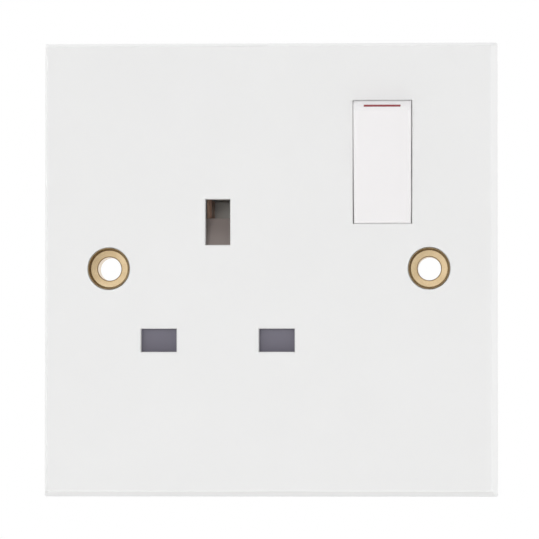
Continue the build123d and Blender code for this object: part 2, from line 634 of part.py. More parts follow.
# Earth clip: two upright leaves joined by a fold under the pin, with one leaf running up to its terminal
with BuildPart() as earth_contact:
    extrude(strip_section(EARTH_PATH, STRIP), amount=-CLIP_LENGTH)
    mouth = earth_contact.faces().sort_by(Axis.Y)[0].edges().filter_by(Axis.Z)
    chamfer(mouth.filter_by_position(Axis.X, *EARTH_LEAVES), CLIP_MOUTH_BEVEL)
earth_contact.part.label = "earth_contact"
export_step(earth_contact.part, "parts/earth_contact.step")

# Neutral clip: two level leaves joined by a fold beside the pin, with a tail down to its terminal
with BuildPart() as neutral_contact:
    extrude(strip_section(NEUTRAL_PATH, STRIP), amount=-CLIP_LENGTH)
    mouth = neutral_contact.faces().sort_by(Axis.Y)[0].edges().filter_by(Axis.X)
    chamfer(mouth.filter_by_position(Axis.Z, LOWER_LEAF, UPPER_LEAF), CLIP_MOUTH_BEVEL)
neutral_contact.part.label = "neutral_contact"
export_step(neutral_contact.part, "parts/neutral_contact.step")

# Live clip: as the neutral one, with a tail on edge to the switch, where its end is the see-saw's fulcrum
with BuildPart() as live_contact:
    extrude(strip_section(LIVE_PATH, STRIP), amount=-CLIP_LENGTH)
    with BuildSketch(front(FULCRUM)):
        with Locations((FULCRUM_RIGHT, (LOWER_LEAF + ROCKER_Z) / 2)):
            Rectangle(2 * (FULCRUM_RIGHT - LIVE_X - LEAF_END - STRIP), 2 * (ROCKER_Z - LOWER_LEAF))
    extrude(amount=CLIP_MOUTH - FULCRUM, mode=Mode.SUBTRACT)
    mouth = live_contact.faces().sort_by(Axis.Y)[0].edges().filter_by(Axis.X)
    chamfer(mouth.filter_by_position(Axis.Z, LOWER_LEAF, UPPER_LEAF), CLIP_MOUTH_BEVEL)
    with BuildSketch(Plane.YZ.offset(FULCRUM_RIGHT)):
        with Locations((-FULCRUM, ROCKER_Z)):
            Circle(STRIP / 2)
    extrude(amount=FULCRUM_LEFT + FOLD_RADIUS - FULCRUM_RIGHT)
live_contact.part.label = "live_contact"
export_step(live_contact.part, "parts/live_contact.step")

# See-saw contact: a shallow vee that rocks on the live strip's rounded edge
with BuildPart() as moving_contact:
    with BuildSketch(SEESAW_SIDE):
        with BuildLine():
            Polyline(
                (-SEESAW_TAIL * TILT_COS, VEE_CENTRE + SEESAW_TAIL * TILT_SIN),
                (0, VEE_CENTRE),
                (SEESAW_REACH * TILT_COS, VEE_CENTRE + SEESAW_REACH * TILT_SIN),
            )
        trace(line_width=STRIP)
    extrude(amount=SEESAW_WIDTH / 2, both=True)
    with BuildSketch(SEESAW_SIDE):
        with Locations((0, VEE_CENTRE / 2)):
            Rectangle(SADDLE_LENGTH, VEE_CENTRE)
        Circle(STRIP / 2 + FULCRUM_PLAY, mode=Mode.SUBTRACT)
    extrude(amount=SADDLE_WIDTH / 2, both=True)
moving_contact.part.label = "moving_contact"
export_step(moving_contact.part, "parts/moving_contact.step")

# Silver button on the see-saw's upper arm
with BuildPart() as moving_contact_tip:
    with BuildSketch(front(BUTTON_REAR)):
        with Locations((ROCKER_X, BUTTON_Z)):
            Circle(BUTTON_DIAMETER / 2)
    extrude(amount=BUTTON_HEIGHT)
moving_contact_tip.part.label = "moving_contact_tip"
export_step(moving_contact_tip.part, "parts/moving_contact_tip.step")

# Fixed contact: a flat strip from the live terminal to behind the see-saw's button
with BuildPart() as fixed_contact:
    with BuildSketch(front(CHAMBER_FLOOR)):
        with Locations(((LIVE_TERMINAL_X + TERMINAL_WIDTH / 2 + FULCRUM_RIGHT) / 2, BUTTON_Z)):
            Rectangle(FULCRUM_RIGHT - LIVE_TERMINAL_X - TERMINAL_WIDTH / 2, SEESAW_WIDTH)
    extrude(amount=STRIP)
    fillet(fixed_contact.edges().filter_by(Axis.Y).group_by(Axis.X)[-1], FOLD_RADIUS)
fixed_contact.part.label = "fixed_contact"
export_step(fixed_contact.part, "parts/fixed_contact.step")

# Silver button on the fixed contact
with BuildPart() as fixed_contact_tip:
    with BuildSketch(front(FIXED_FRONT)):
        with Locations((ROCKER_X, BUTTON_Z)):
            Circle(BUTTON_DIAMETER / 2)
    extrude(amount=BUTTON_HEIGHT)
fixed_contact_tip.part.label = "fixed_contact_tip"
export_step(fixed_contact_tip.part, "parts/fixed_contact_tip.step")

# Earth strap: a flat strip from eyelet to eyelet, with a branch that lies on the earth terminal
with BuildPart() as earth_strap:
    extrude(strap_outline(0), amount=STRIP)
    with BuildSketch(front(STRAP_REAR)):
        with Locations((-FIXING_X, 0), (FIXING_X, 0)):
            Circle(STRAP_RING / 2)
    extrude(amount=STRIP)
    with BuildSketch(front(STRAP_REAR)):
        with Locations((-FIXING_X, 0), (FIXING_X, 0)):
            Circle(EYELET_TUBE + EYELET_PLAY)
    extrude(amount=STRIP, mode=Mode.SUBTRACT)
earth_strap.part.label = "earth_strap"
export_step(earth_strap.part, "parts/earth_strap.step")

# Tunnel terminals: brass blocks with a wire tunnel, and a screw hole from the rear that meets it
for name, (x, z) in TERMINALS.items():
    with BuildPart() as terminal:
        with BuildSketch(front(TERMINAL_REAR)):
            with Locations((x, z)):
                Rectangle(TERMINAL_WIDTH, TERMINAL_LENGTH)
        extrude(amount=TERMINAL_DEPTH)
        chamfer(terminal.edges().filter_by(Axis.Y), TERMINAL_BEVEL)
        with BuildSketch(Plane.XY.offset(z - TERMINAL_LENGTH / 2)):
            with Locations((x, -TUNNEL_AXIS)):
                Circle(TUNNEL_DIAMETER / 2)
        extrude(amount=TERMINAL_LENGTH, mode=Mode.SUBTRACT)
        with BuildSketch(front(TERMINAL_REAR)):
            with Locations((x, z)):
                Circle(CLAMP_DIAMETER / 2 + CLAMP_PLAY)
        extrude(amount=TUNNEL_AXIS - TERMINAL_REAR, mode=Mode.SUBTRACT)
    terminal.part.label = f"{name}_terminal"
    export_step(terminal.part, f"parts/{name}_terminal.step")

# Clamping screws: slotted cheese heads, backed out to leave the tunnels clear
for name, (x, z) in TERMINALS.items():
    with BuildPart() as clamp:
        with BuildSketch(front(CLAMP_SHOULDER)):
            with Locations((x, z)):
                Circle(CLAMP_DIAMETER / 2)
        extrude(amount=CLAMP_TIP - CLAMP_SHOULDER)
        chamfer(clamp.edges().sort_by(Axis.Y)[0], CLAMP_TIP_BEVEL)
        with BuildSketch(front(CLAMP_SHOULDER)):
            with Locations((x, z)):
                Circle(CLAMP_HEAD / 2)
        extrude(amount=-CLAMP_HEAD_HEIGHT)
        with BuildSketch(front(CLAMP_SHOULDER - CLAMP_HEAD_HEIGHT)):
            with Locations((x, z)):
                Rectangle(CLAMP_HEAD, SLOT_WIDTH)
        extrude(amount=SLOT_DEPTH, mode=Mode.SUBTRACT)
    clamp.part.label = f"{name}_terminal_screw"
    export_step(clamp.part, f"parts/{name}_terminal_screw.step")

# Base moulding: a dark housing with a cell for each clip and terminal, and a chamber for the switch
with BuildPart() as base_moulding:
    with BuildSketch(front(-BASE_BACK)):
        with Locations(BASE_CENTRE):
            RectangleRounded(BASE_WIDTH, BASE_HEIGHT, BASE_CORNER)
        with Locations((-FIXING_X, 0), (FIXING_X, 0)):
            Rectangle(2 * LUG_ROOM, NOTCH_HEIGHT, mode=Mode.SUBTRACT)
    extrude(amount=BASE_BACK + DECK)

    # Steps in the back, where nothing deep lies in front
    with BuildSketch(front(-BASE_BACK)):
        with Locations((BASE_RIGHT, BASE_LOW)):
            Rectangle(
                2 * (BASE_RIGHT - LIVE_X - LEAF_END - BASE_WALL),
                2 * (LOWER_LEAF - BASE_LOW - BASE_WALL),
            )
        with Locations((BASE_LEFT, BASE_HIGH)):
            Rectangle(
                2 * (SOCKET_X - TERMINAL_WIDTH / 2 - BASE_WALL - BASE_LEFT),
                2 * (BASE_HIGH - EARTH_Z - PIN_WIDTH),
            )
    extrude(amount=BASE_STEP, mode=Mode.SUBTRACT)
    chamfer(base_moulding.faces().sort_by(Axis.Y)[-1].outer_wire().edges(), BASE_EDGE)

    # Cells for the clips, with room for the leaves to flex, and slots for their tails
    pocket(
        SOCKET_X - LEAF_OFFSET - STRIP / 2 - FLEX_ROOM,
        SOCKET_X + LEAF_OFFSET + STRIP / 2 + FLEX_ROOM,
        EARTH_BEND - STRIP / 2 - POCKET_PLAY,
        EARTH_Z + EARTH_PIN_HEIGHT / 2 + FLEX_ROOM,
        CLIP_REAR,
    )
    for x in (NEUTRAL_X, LIVE_X):
        pocket(
            x - LEAF_BEND - STRIP / 2 - POCKET_PLAY,
            x + LEAF_BEND + STRIP / 2 + POCKET_PLAY,
            LOWER_LEAF - STRIP / 2 - FLEX_ROOM,
            CLIP_TOP,
            CLIP_REAR,
        )
    for path in (EARTH_PATH, NEUTRAL_PATH, LIVE_PATH):
        slot = strip_section(path, STRIP + 2 * POCKET_PLAY)
        extrude(slot, amount=DECK - CLIP_MOUTH, mode=Mode.SUBTRACT)
        extrude(slot, amount=-CLIP_LENGTH, mode=Mode.SUBTRACT)

    # Room for the shutter's ramp to drop
    pocket(
        SOCKET_X - RAMP_WIDTH / 2 - SHUTTER_PLAY,
        SOCKET_X + RAMP_WIDTH / 2 + SHUTTER_PLAY,
        RAMP_POCKET_LOW,
        RAMP_TOP + SHUTTER_PLAY,
        CLIP_MOUTH,
    )

    # Groove for the earth strap
    extrude(strap_outline(POCKET_PLAY), amount=DECK - STRAP_REAR, mode=Mode.SUBTRACT)

    # Switch chamber, and the way in for the fixed contact
    pocket(CHAMBER_LEFT, CHAMBER_RIGHT, CHAMBER_LOW, CHAMBER_HIGH, CHAMBER_FLOOR)
    pocket(
        LIVE_TERMINAL_X,
        ROCKER_X,
        BUTTON_Z - SEESAW_WIDTH / 2 - POCKET_PLAY,
        BUTTON_Z + SEESAW_WIDTH / 2 + POCKET_PLAY,
        CHAMBER_FLOOR,
    )

    # Terminal cells, each with a wire entry at its outer end and a screw hole through the back
    for name, (x, z) in TERMINALS.items():
        pocket(
            x - TERMINAL_WIDTH / 2 - POCKET_PLAY,
            x + TERMINAL_WIDTH / 2 + POCKET_PLAY,
            z - TERMINAL_CELL,
            z + TERMINAL_CELL,
            TERMINAL_REAR,
        )
        with BuildSketch(front(-BASE_BACK)):
            with Locations((x, z)):
                Circle(CLAMP_HEAD / 2 + WIRE_ROOM)
        extrude(amount=BASE_BACK + TERMINAL_REAR, mode=Mode.SUBTRACT)
        with BuildSketch(Plane.XY.offset(z)):
            with Locations((x, -TUNNEL_AXIS)):
                Circle(TUNNEL_DIAMETER / 2 + WIRE_ROOM)
        reach = BASE_LOW - z if name == "neutral" else BASE_HIGH - z
        extrude(amount=reach, mode=Mode.SUBTRACT)

    # Holes for the screws that hold the base to the plate, counterbored from the back
    with BuildSketch(front(-SCREW_SEAT)):
        with Locations(*SCREW_PLACES):
            Circle(SCREW_DIAMETER / 2 + SCREW_PLAY)
    extrude(amount=SCREW_SEAT + DECK, mode=Mode.SUBTRACT)
    with BuildSketch(front(-SCREW_SEAT)):
        with Locations(*SCREW_PLACES):
            Circle(SCREW_HEAD / 2 + SCREW_HEAD_ROOM)
    extrude(amount=SCREW_SEAT - BASE_BACK, mode=Mode.SUBTRACT)
base_moulding.part.label = "base_moulding"
export_step(base_moulding.part, "parts/base_moulding.step")

# Base screws: pan heads with a cross recess
for number, place in enumerate(SCREW_PLACES, start=1):
    with BuildPart() as base_screw:
        with BuildSketch(front(-SCREW_SEAT)):
            with Locations(place):
                Circle(SCREW_DIAMETER / 2)
        extrude(amount=SCREW_SEAT + SCREW_TIP)
        chamfer(base_screw.edges().sort_by(Axis.Y)[0], SCREW_POINT)
        with BuildSketch(front(-SCREW_SEAT)):
            with Locations(place):
                Circle(SCREW_HEAD / 2)
        extrude(amount=-SCREW_HEAD_HEIGHT)
        fillet(base_screw.edges().sort_by(Axis.Y)[-1], SCREW_HEAD_HEIGHT / 2)
        with BuildSketch(front(-SCREW_SEAT - SCREW_HEAD_HEIGHT)):
            with Locations(place):
                Rectangle(RECESS_LENGTH, RECESS_WIDTH)
                Rectangle(RECESS_WIDTH, RECESS_LENGTH)
        extrude(amount=RECESS_DEPTH, mode=Mode.SUBTRACT)
    base_screw.part.label = f"base_screw_{number}"
    export_step(base_screw.part, f"parts/base_screw_{number}.step")
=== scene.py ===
"""Looks of a single switched socket outlet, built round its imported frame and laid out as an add-on."""

import json
import math

import bmesh
import bpy
from bpy.props import FloatProperty, PointerProperty, StringProperty
from mathutils import Matrix, Vector


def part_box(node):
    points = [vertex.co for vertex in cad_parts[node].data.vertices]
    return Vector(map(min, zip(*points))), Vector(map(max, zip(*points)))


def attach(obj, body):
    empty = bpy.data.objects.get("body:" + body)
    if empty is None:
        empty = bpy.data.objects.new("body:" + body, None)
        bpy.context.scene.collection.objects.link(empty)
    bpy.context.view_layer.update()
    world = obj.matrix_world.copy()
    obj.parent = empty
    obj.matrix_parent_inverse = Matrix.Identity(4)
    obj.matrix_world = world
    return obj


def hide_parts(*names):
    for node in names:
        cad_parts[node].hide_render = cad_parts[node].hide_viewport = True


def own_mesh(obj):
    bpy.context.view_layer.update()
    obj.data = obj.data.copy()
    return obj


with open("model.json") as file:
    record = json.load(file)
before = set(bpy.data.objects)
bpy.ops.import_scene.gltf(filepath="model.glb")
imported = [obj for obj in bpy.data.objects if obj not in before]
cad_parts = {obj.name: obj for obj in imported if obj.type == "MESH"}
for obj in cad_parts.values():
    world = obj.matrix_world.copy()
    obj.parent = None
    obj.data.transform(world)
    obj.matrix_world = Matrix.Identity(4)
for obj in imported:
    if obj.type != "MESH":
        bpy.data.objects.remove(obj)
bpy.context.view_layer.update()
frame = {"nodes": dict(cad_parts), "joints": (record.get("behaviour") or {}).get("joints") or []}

bl_info = {
    "name": "Switched Socket Looks",
    "version": (1, 0, 0),
    "blender": (4, 5, 0),
    "location": "View3D > Sidebar > Socket",
    "description": "Finishes a switched socket outlet and sets a soft white studio round it",
    "category": "Object",
}

MM = 0.001
NODES = frame["nodes"]
JOINTS = {joint["name"]: joint for joint in frame["joints"]}

# Groups of like pieces
EYELETS = ("eyelet_left", "eyelet_right")
CONTACT_STRIPS = ("neutral_contact", "live_contact", "earth_strap", "fixed_contact", "moving_contact")
CONTACT_TIPS = ("fixed_contact_tip", "moving_contact_tip")
TERMINALS = ("earth", "neutral", "live")
BASE_SCREWS = ("base_screw_1", "base_screw_2", "base_screw_3")

# Each spring's node, the body that it rides on, the joint along whose axis it lies, and its turns
SPRINGS = (
    ("shutter_spring", "housing", "shutter_slide", 8),
    ("rocker_spring", "rocker", "plunger_press", 5),
)
# Steps of the wire in one turn, and sides of its round section
COIL_STEPS = 28
COIL_SIDES = 10

# Size of the clouds of colour in a plastic, and the share by which its grain varies the roughness
CLOUD_MM = 14.0
GRAIN_SHEEN = 0.15
# Size of the stains on a metal, and the share by which they vary the roughness
STAIN_MM = 2.5
STAIN_SHEEN = 0.3
# Rolled lines are long along Y
ROLLED_SCALE = (1.0, 0.12, 1.0)
# Length after which a wave texture at scale 1 repeats
WAVE_REPEAT = math.pi / 10
# Sockets of a Mix node go by number, because its values and its colours share their names
VALUE_A, VALUE_B, COLOUR_A, COLOUR_B = 2, 3, 6, 7
MIXED_VALUE, MIXED_COLOUR = 0, 2

# Font size of the letters, in shares of the marks' size
LETTER_FONT = 1.35
# Earth sign, in the same shares: widths of its bars, their spacing, its line and its stem
EARTH_BARS = (1.0, 0.64, 0.28)
EARTH_PITCH = 0.22
EARTH_LINE = 0.14
EARTH_STEM = 0.5

# Floor: its radius and its sides, and how far from its middle it starts to fade and is all white
FLOOR_RADIUS = 4.0
FLOOR_SIDES = 128
FLOOR_FADE_FROM = 0.4
FLOOR_FADE_TO = 2.0

# Way to the brightest part of the room, and the cosine from it at which the room reaches its full level
ROOM_BRIGHT = Vector((0.1, 0.9, 0.35)).normalized()
ROOM_FULL = 0.1

# Light that gloss and metal mirror, from straight in front of the plate (0) to straight behind it (1):
# dim round the camera, a ring of light boxes, dim at the sides and white behind
MIRRORED_ROOM = (
    (0.0, 0.15), (0.05, 0.15), (0.09, 1.0), (0.19, 1.0), (0.22, 0.08),
    (0.48, 0.08), (0.54, 0.45), (0.8, 0.45), (0.9, 1.0),
)
# Share of that light, and how it rises along X, Y and Z: it is strongest at the upper left
MIRRORED_SHARE = 0.93
MIRRORED_SLOPE = (-0.107, 0.0, 0.08)

# Each lamp's diameter and place in metres
LAMPS = {
    "key": (0.45, (-0.07, -1.5, 0.1)),
    "side": (0.5, (1.4, 0.2, 0.1)),
    "rim": (0.5, (-1.0, 0.1, 1.0)),
}


def linear(code):
    """Linear red, green, blue and alpha of an sRGB hex colour."""
    channels = [int(code[i:i + 2], 16) / 255 for i in (1, 3, 5)]
    return [c / 12.92 if c <= 0.04045 else ((c + 0.055) / 1.055) ** 2.4 for c in channels] + [1.0]


def add_node(tree, kind, inputs=None, **settings):
    """Add a shader node with its settings, and with each input set to a value or linked to a socket."""
    node = tree.nodes.new(kind)
    for name, value in settings.items():
        setattr(node, name, value)
    for name, value in (inputs or {}).items():
        if isinstance(value, bpy.types.NodeSocket):
            tree.links.new(value, node.inputs[name])
        else:
            node.inputs[name].default_value = value
    return node


def new_tree(name):
    """New empty material, with its node tree."""
    material = bpy.data.materials.new(name)
    material.use_nodes = True
    material.node_tree.nodes.clear()
    return material, material.node_tree


def close_tree(tree, shader):
    """Link a shader to a material's output."""
    add_node(tree, "ShaderNodeOutputMaterial", {"Surface": shader.outputs[0]})


def per_metre(size_mm):
    """Texture scale that gives a pattern one repeat in this many millimetres."""
    return 1.0 / (size_mm * MM)


def moulded_plastic(name, colour, shade, roughness, grain_mm, relief_mm, ior, edge_mm):
    """Moulded plastic: cloudy tone from the fill, a faint orange peel from the tool, and softened edges."""
    material, tree = new_tree(name)
    place = add_node(tree, "ShaderNodeTexCoord").outputs["Object"]
    cloud = add_node(tree, "ShaderNodeTexNoise", {
        "Vector": place, "Scale": per_metre(CLOUD_MM), "Detail": 3.0})
    tone = add_node(tree, "ShaderNodeMix", {
        "Factor": cloud.outputs["Fac"], COLOUR_A: linear(colour), COLOUR_B: linear(shade)},
        data_type="RGBA")
    grain = add_node(tree, "ShaderNodeTexNoise", {
        "Vector": place, "Scale": per_metre(grain_mm), "Detail": 4.0})
    sheen = add_node(tree, "ShaderNodeMapRange", {
        "Value": grain.outputs["Fac"],
        "To Min": roughness * (1 - GRAIN_SHEEN), "To Max": roughness * (1 + GRAIN_SHEEN)})
    edge = add_node(tree, "ShaderNodeBevel", {"Radius": edge_mm * MM}, samples=4)
    bump = add_node(tree, "ShaderNodeBump", {
        "Height": grain.outputs["Fac"], "Distance": relief_mm * MM, "Normal": edge.outputs[0]})
    shader = add_node(tree, "ShaderNodeBsdfPrincipled", {
        "Base Color": tone.outputs[MIXED_COLOUR], "Roughness": sheen.outputs[0],
        "Normal": bump.outputs[0], "IOR": ior})
    close_tree(tree, shader)
    return material


def worked_metal(name, colour, tarnish, roughness, pattern_mm, relief_mm, edge_mm, rings_on=None, bare=1.0):
    """Metal with rings round the middle of a round node or else rolled lines, bare or under a dull film."""
    material, tree = new_tree(name)
    coordinate = add_node(tree, "ShaderNodeTexCoord")
    # Tool marks are finer on the real pieces, and are drawn this coarse to show
    if rings_on:
        low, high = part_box(rings_on)
        span_mm = (high - low) / MM
        place = add_node(tree, "ShaderNodeMapping", {
            "Vector": coordinate.outputs["Generated"], "Location": -span_mm / 2, "Scale": span_mm})
        marks = add_node(tree, "ShaderNodeTexWave", {
            "Vector": place.outputs[0], "Scale": WAVE_REPEAT / pattern_mm, "Distortion": 0.6, "Detail": 2.0},
            wave_type="RINGS", rings_direction="Y")
    else:
        place = add_node(tree, "ShaderNodeMapping", {
            "Vector": coordinate.outputs["Object"], "Scale": ROLLED_SCALE})
        marks = add_node(tree, "ShaderNodeTexNoise", {
            "Vector": place.outputs[0], "Scale": per_metre(pattern_mm), "Detail": 3.0})
    stain = add_node(tree, "ShaderNodeTexNoise", {
        "Vector": coordinate.outputs["Object"], "Scale": per_metre(STAIN_MM), "Detail": 4.0})
    tone = add_node(tree, "ShaderNodeMix", {
        "Factor": stain.outputs["Fac"], COLOUR_A: linear(colour), COLOUR_B: linear(tarnish)},
        data_type="RGBA")
    sheen = add_node(tree, "ShaderNodeMapRange", {
        "Value": stain.outputs["Fac"],
        "To Min": roughness * (1 - STAIN_SHEEN), "To Max": roughness * (1 + STAIN_SHEEN)})
    edge = add_node(tree, "ShaderNodeBevel", {"Radius": edge_mm * MM}, samples=4)
    bump = add_node(tree, "ShaderNodeBump", {
        "Height": marks.outputs["Fac"], "Distance": relief_mm * MM, "Normal": edge.outputs[0]})
    shader = add_node(tree, "ShaderNodeBsdfPrincipled", {
        "Base Color": tone.outputs[MIXED_COLOUR], "Metallic": bare, "Roughness": sheen.outputs[0],
        "Normal": bump.outputs[0]})
    close_tree(tree, shader)
    return material


def dress(node, material):
    """Give one CAD node a material in place of its own."""
    mesh = NODES[node].data
    mesh.materials.clear()
    mesh.materials.append(material)


def new_piece(name, mesh, body, material):
    """Add a mesh in the shared frame that rides on a body."""
    mesh.materials.append(material)
    piece = bpy.data.objects.new(name, mesh)
    bpy.context.scene.collection.objects.link(piece)
    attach(piece, body)
    return piece


def coil_spring(node, axis, turns, wire):
    """Mesh of a coil spring with closed ends that fills a CAD node's place, and its ends on the axis."""
    aside = axis.orthogonal().normalized()
    across = axis.cross(aside)
    spans = []
    for direction in (axis, aside, across):
        reach = [vertex.co.dot(direction) for vertex in NODES[node].data.vertices]
        spans.append((min(reach), max(reach)))
    foot, top = spans[0]
    middle = aside * (sum(spans[1]) / 2) + across * (sum(spans[2]) / 2)
    coil = (spans[1][1] - spans[1][0] - wire) / 2
    # The first and last turns lie closed, one wire high, and the others share the rest
    rise = (top - foot - 3 * wire) / (turns - 2)
    vertices = []
    for i in range(turns * COIL_STEPS + 1):
        turn = i / COIL_STEPS
        height = foot + wire / 2 + wire * min(turn, 1) + rise * min(max(turn - 1, 0), turns - 2)
        height += wire * max(turn - turns + 1, 0)
        radial = aside * math.cos(math.tau * turn) + across * math.sin(math.tau * turn)
        for side in range(COIL_SIDES):
            angle = math.tau * side / COIL_SIDES
            outward = coil + wire / 2 * math.cos(angle)
            upward = height + wire / 2 * math.sin(angle)
            vertices.append(middle + radial * outward + axis * upward)
    faces = [list(range(COIL_SIDES)), list(range(len(vertices) - COIL_SIDES, len(vertices)))[::-1]]
    for i in range(turns * COIL_STEPS):
        ring, above = i * COIL_SIDES, (i + 1) * COIL_SIDES
        for side in range(COIL_SIDES):
            after = (side + 1) % COIL_SIDES
            faces.append([ring + after, ring + side, above + side, above + after])
    mesh = bpy.data.meshes.new(f"{node}_coil")
    mesh.from_pydata(vertices, [], faces)
    mesh.polygons.foreach_set("use_smooth", [len(face) == 4 for face in faces])
    return mesh, middle + axis * foot, middle + axis * top


class SocketFinish(bpy.types.PropertyGroup):
    """Colours and sizes of the socket's mouldings and metals."""

    plate_colour: StringProperty(name="Plate", description="Colour of the face plate", default="#EBEBEB")
    plate_shade: StringProperty(name="Plate shade", description="Deeper tone in the plate", default="#E8E8E8")
    plate_roughness: FloatProperty(
        name="Plate roughness", description="Roughness of the face plate",
        default=0.5, min=0.05, max=1.0, subtype="FACTOR")
    rocker_colour: StringProperty(name="Rocker", description="Colour of the rocker", default="#F0EEEF")
    rocker_shade: StringProperty(
        name="Rocker shade", description="Deeper tone in the rocker", default="#EDEBEC")
    marker_colour: StringProperty(name="On mark", description="Colour of the on mark", default="#960D20")
    shutter_colour: StringProperty(name="Shutter", description="Colour of the shutter", default="#7F7C88")
    cam_colour: StringProperty(name="Cam", description="Colour of the shutter's cam", default="#B0A4A0")
    base_colour: StringProperty(name="Base", description="Colour of the base moulding", default="#D2D0CB")
    eyelet_colour: StringProperty(
        name="Eyelets", description="Colour of the eyelets' brass", default="#F5DEB7")
    brass_colour: StringProperty(name="Brass", description="Colour of the inner brass", default="#E3BE7A")
    spring_wire: FloatProperty(
        name="Spring wire", description="Thickness of the springs' wire", default=0.00035, unit="LENGTH")
    mark_size: FloatProperty(
        name="Mark size", description="Size of the marks moulded on the back", default=0.004, unit="LENGTH")
    mark_rise: FloatProperty(
        name="Mark rise", description="How far the marks stand off the back", default=0.0003, unit="LENGTH")
    mark_step: FloatProperty(
        name="Mark step", description="From a terminal screw to its mark", default=0.0066, unit="LENGTH")


class SocketStage(bpy.types.PropertyGroup):
    """Camera and light of the studio."""

    azimuth: FloatProperty(
        name="Azimuth", description="How far right of straight ahead the camera stands",
        default=math.radians(2.9), subtype="ANGLE")
    elevation: FloatProperty(
        name="Elevation", description="How far above level the camera stands",
        default=math.radians(-1.6), subtype="ANGLE")
    distance: FloatProperty(
        name="Distance", description="From the camera to the plate's centre", default=0.9, unit="LENGTH")
    view_width: FloatProperty(
        name="View width", description="Width of the view at the plate", default=0.1013, unit="LENGTH")
    aim_right: FloatProperty(
        name="Aim right", description="How far right of the plate's centre the camera aims",
        default=0.00016, unit="LENGTH")
    aim_down: FloatProperty(
        name="Aim down", description="How far below the plate's centre the camera aims",
        default=0.0002, unit="LENGTH")
    key_power: FloatProperty(
        name="Key", description="Power of the lamp behind the camera", default=7.9, unit="POWER")
    side_power: FloatProperty(
        name="Side", description="Power of the lamp at the right", default=5.0, unit="POWER")
    rim_power: FloatProperty(
        name="Rim", description="Power of the lamp over the upper left corner", default=7.0, unit="POWER")
    room_level: FloatProperty(
        name="Room", description="Light from the room beside and behind",
        default=0.94, min=0.0, max=1.0, subtype="FACTOR")
    floor_drop: FloatProperty(
        name="Floor drop", description="From the plate's centre down to the floor",
        default=0.35, unit="LENGTH")


class SOCKET_OT_face_plate(bpy.types.Operator):
    """Finish the face plate in white moulded urea."""

    bl_idname = "socket.face_plate"
    bl_label = "Face plate"

    def execute(self, context):
        finish = context.scene.socket_finish
        # Moulded urea: an even, neutral white with a soft satin gloss
        dress("front_plate", moulded_plastic(
            "urea_moulded_satin_white", finish.plate_colour, finish.plate_shade,
            roughness=finish.plate_roughness, grain_mm=0.9, relief_mm=0.004, ior=1.55, edge_mm=0.2))
        return {"FINISHED"}


class SOCKET_OT_rocker(bpy.types.Operator):
    """Finish the rocker, its on mark and the plunger inside it."""

    bl_idname = "socket.rocker"
    bl_label = "Rocker"

    def execute(self, context):
        finish = context.scene.socket_finish
        # Moulded polycarbonate: a warmer, brighter white than the plate, with a closer gloss
        dress("rocker", moulded_plastic(
            "polycarbonate_moulded_white", finish.rocker_colour, finish.rocker_shade,
            roughness=0.36, grain_mm=1.6, relief_mm=0.001, ior=1.58, edge_mm=0.15))
        # Inlaid red ABS: a solid crimson with a soft gloss
        dress("on_marker", moulded_plastic(
            "abs_inlaid_red", finish.marker_colour, "#880A1B",
            roughness=0.35, grain_mm=0.5, relief_mm=0.004, ior=1.53, edge_mm=0.05))
        # Moulded acetal: black, slippery and a little waxy
        dress("rocker_plunger", moulded_plastic(
            "acetal_moulded_black", "#1B1B1D", "#222225",
            roughness=0.4, grain_mm=0.4, relief_mm=0.004, ior=1.48, edge_mm=0.1))
        return {"FINISHED"}


class SOCKET_OT_shutter(bpy.types.Operator):
    """Finish the shutter behind the pin apertures and the cam that drives it."""

    bl_idname = "socket.shutter"
    bl_label = "Shutter"

    def execute(self, context):
        finish = context.scene.socket_finish
        # Moulded nylon: a matt grey with a faint violet cast
        dress("shutter", moulded_plastic(
            "nylon_moulded_grey", finish.shutter_colour, "#7A7783",
            roughness=0.5, grain_mm=0.7, relief_mm=0.006, ior=1.53, edge_mm=0.1))
        # Moulded acetal: a pale grey with a waxy surface, set off from the shutter that it drives; its warm
        # cast is painted reflection of the brass beside it
        dress("shutter_cam", moulded_plastic(
            "acetal_moulded_pale", finish.cam_colour, "#AB9F9B",
            roughness=0.4, grain_mm=0.5, relief_mm=0.004, ior=1.48, edge_mm=0.1))
        return {"FINISHED"}


class SOCKET_OT_eyelets(bpy.types.Operator):
    """Finish the brass eyelets of the fixing holes."""

    bl_idname = "socket.eyelets"
    bl_label = "Eyelets"

    def execute(self, context):
        finish = context.scene.socket_finish
        # Drawn brass: bright and pale, with faint rings from the drawing tool
        brass = worked_metal(
            "brass_drawn_bright", finish.eyelet_colour, "#DDBF91",
            roughness=0.22, pattern_mm=0.3, relief_mm=0.002, edge_mm=0.03, rings_on=EYELETS[0])
        for node in EYELETS:
            dress(node, brass)
        return {"FINISHED"}


class SOCKET_OT_contacts(bpy.types.Operator):
    """Finish the folded contacts, the earth strap and the silver buttons."""

    bl_idname = "socket.contacts"
    bl_label = "Contacts"

    def execute(self, context):
        finish = context.scene.socket_finish
        # Rolled brass strip: fine lines along the roll, dulled by a film
        strip = worked_metal(
            "brass_rolled_strip", finish.brass_colour, "#C49A57",
            roughness=0.3, pattern_mm=0.15, relief_mm=0.004, edge_mm=0.08, bare=0.5)
        for node in CONTACT_STRIPS:
            dress(node, strip)
        # Rolled phosphor bronze: a pinkish strip with a dull film
        dress("earth_contact", worked_metal(
            "phosphor_bronze_rolled", "#F0CDB8", "#DDB49C",
            roughness=0.38, pattern_mm=0.15, relief_mm=0.004, edge_mm=0.08, bare=0.4))
        # Headed silver alloy: pale, with the soft bloom that silver takes
        silver = worked_metal(
            "silver_alloy_headed", "#E9E6DF", "#CFCABF",
            roughness=0.28, pattern_mm=0.15, relief_mm=0.004, edge_mm=0.1, rings_on=CONTACT_TIPS[0])
        for node in CONTACT_TIPS:
            dress(node, silver)
        return {"FINISHED"}


